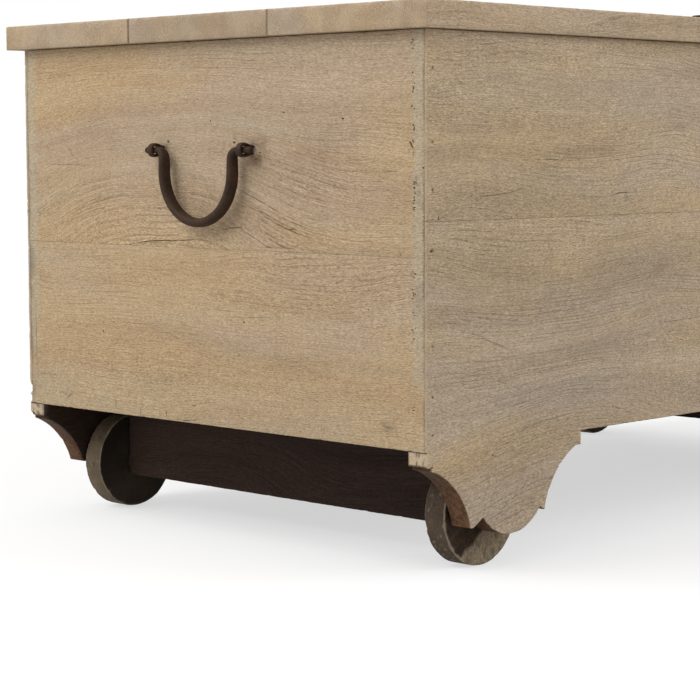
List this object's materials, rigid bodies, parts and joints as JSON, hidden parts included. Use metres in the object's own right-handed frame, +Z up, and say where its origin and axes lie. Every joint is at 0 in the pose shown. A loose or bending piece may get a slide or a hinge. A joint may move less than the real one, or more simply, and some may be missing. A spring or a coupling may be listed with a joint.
{
  "type": "wheeled wooden chest",
  "caption": "Low plank storage chest with shaped feet over solid wooden wheels, iron bail handles on the ends, and a hinged flat lid with a hasp.",
  "frame": {"origin": "on the floor, under the middle of the chest's bounding box", "axes": "+Z up, +X along the length, -Y towards the front, the long side with the hasp"},
  "size_m": [0.9338, 0.5478, 0.4648],
  "materials": {
    "limed_wood": "limed and sanded, open grain, worn edges",
    "greyed_wood": "limed and greyed, open grain, dry",
    "lid_wood": "limed, rubbed smooth by use",
    "inner_wood": "bare planed wood",
    "dark_wood": "old dark stain, dull",
    "wheel_wood": "weathered, worn rim",
    "iron": "forged, dark patina with rust"
  },
  "bodies": {
    "case": {"front_lower_board": "greyed_wood", "front_upper_board": "greyed_wood", "back_lower_board": "greyed_wood", "back_upper_board": "greyed_wood", "left_end_lower_board": "limed_wood", "right_end_lower_board": "limed_wood", "left_end_upper_board": "limed_wood", "right_end_upper_board": "limed_wood", "bottom_board_1": "inner_wood", "bottom_board_2": "inner_wood", "bottom_board_3": "inner_wood", "left_cross_board": "dark_wood", "left_front_axle_pin": "iron", "left_front_washers": "iron", "left_back_axle_pin": "iron", "left_back_washers": "iron", "right_cross_board": "dark_wood", "right_front_axle_pin": "iron", "right_front_washers": "iron", "right_back_axle_pin": "iron", "right_back_washers": "iron", "left_hinge_case_leaf": "iron", "left_hinge_pin": "iron", "left_hinge_case_nails": "iron", "right_hinge_case_leaf": "iron", "right_hinge_pin": "iron", "right_hinge_case_nails": "iron", "hasp_staple": "iron", "left_bail_eyes": "iron", "right_bail_eyes": "iron", "left_front_corner_nails": "iron", "left_back_corner_nails": "iron", "right_front_corner_nails": "iron", "right_back_corner_nails": "iron", "left_bottom_nails": "iron", "right_bottom_nails": "iron"},
    "lid": {"lid_board_1": "lid_wood", "lid_board_2": "lid_wood", "lid_board_3": "lid_wood", "left_lid_batten": "inner_wood", "middle_lid_batten": "inner_wood", "right_lid_batten": "inner_wood", "left_hinge_lid_leaf": "iron", "left_hinge_lid_nails": "iron", "right_hinge_lid_leaf": "iron", "right_hinge_lid_nails": "iron", "hasp_plate": "iron", "hasp_pin": "iron", "hasp_nails": "iron", "left_lid_nails": "iron", "middle_lid_nails": "iron", "right_lid_nails": "iron"},
    "hasp": {"hasp_strap": "iron"},
    "left_bail": {"left_bail": "iron"},
    "right_bail": {"right_bail": "iron"},
    "left_front_wheel": {"left_front_wheel": "wheel_wood"},
    "left_back_wheel": {"left_back_wheel": "wheel_wood"},
    "right_front_wheel": {"right_front_wheel": "wheel_wood"},
    "right_back_wheel": {"right_back_wheel": "wheel_wood"}
  },
  "joints": [
    {"name": "lid_hinge", "type": "hinge", "parent": "case", "child": "lid", "pos_m": [0, 0.2639, 0.4326], "axis": [-1, 0, 0], "range_deg": [0, 112]},
    {"name": "hasp_hinge", "type": "hinge", "parent": "lid", "child": "hasp", "pos_m": [0, -0.2604, 0.4608], "axis": [1, 0, 0], "range_deg": [0, 270]},
    {"name": "left_bail_swing", "type": "hinge", "parent": "case", "child": "left_bail", "pos_m": [-0.4605, 0.0079, 0.3418], "axis": [0, 1, 0], "range_deg": [0, 180]},
    {"name": "right_bail_swing", "type": "hinge", "parent": "case", "child": "right_bail", "pos_m": [0.4605, 0.0079, 0.3418], "axis": [0, -1, 0], "range_deg": [0, 180]},
    {"name": "left_front_wheel_spin", "type": "hinge", "parent": "case", "child": "left_front_wheel", "pos_m": [-0.3599, -0.2135, 0.0451], "axis": [0, 1, 0], "continuous": true},
    {"name": "left_back_wheel_spin", "type": "hinge", "parent": "case", "child": "left_back_wheel", "pos_m": [-0.3599, 0.2253, 0.0451], "axis": [0, 1, 0], "continuous": true},
    {"name": "right_front_wheel_spin", "type": "hinge", "parent": "case", "child": "right_front_wheel", "pos_m": [0.3599, -0.2135, 0.0451], "axis": [0, 1, 0], "continuous": true},
    {"name": "right_back_wheel_spin", "type": "hinge", "parent": "case", "child": "right_back_wheel", "pos_m": [0.3599, 0.2253, 0.0451], "axis": [0, 1, 0], "continuous": true}
  ]
}
